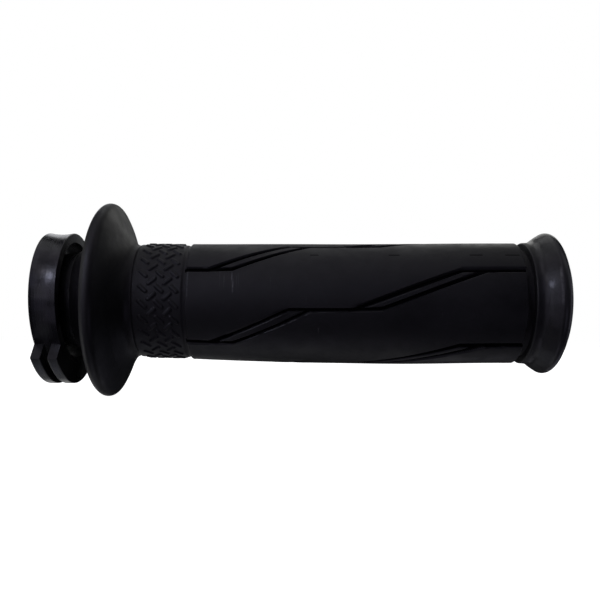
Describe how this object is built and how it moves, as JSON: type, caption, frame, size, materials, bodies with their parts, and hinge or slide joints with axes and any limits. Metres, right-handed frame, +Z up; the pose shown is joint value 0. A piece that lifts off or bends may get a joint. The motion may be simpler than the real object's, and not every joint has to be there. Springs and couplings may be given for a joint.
{
  "type": "throttle grip",
  "caption": "Twist grip for a 22 mm handlebar: cable drum and sleeve under a rubber cover with a round hand flange, patterned collar, stepped grooves and a flared outer end.",
  "frame": {"origin": "centre of the handlebar bore, on the cable drum's inboard face", "axes": "+X along the handlebar towards its outer end, +Z up, -Y towards the side on which the leading end of the cable flanges shows"},
  "size_m": [0.1376, 0.0524, 0.0524],
  "materials": {
    "tube_plastic": "satin black moulded nylon",
    "grip_rubber": "satin black moulded rubber"
  },
  "bodies": {
    "root": {"throttle_tube": "tube_plastic", "grip_rubber": "grip_rubber"}
  },
  "joints": []
}
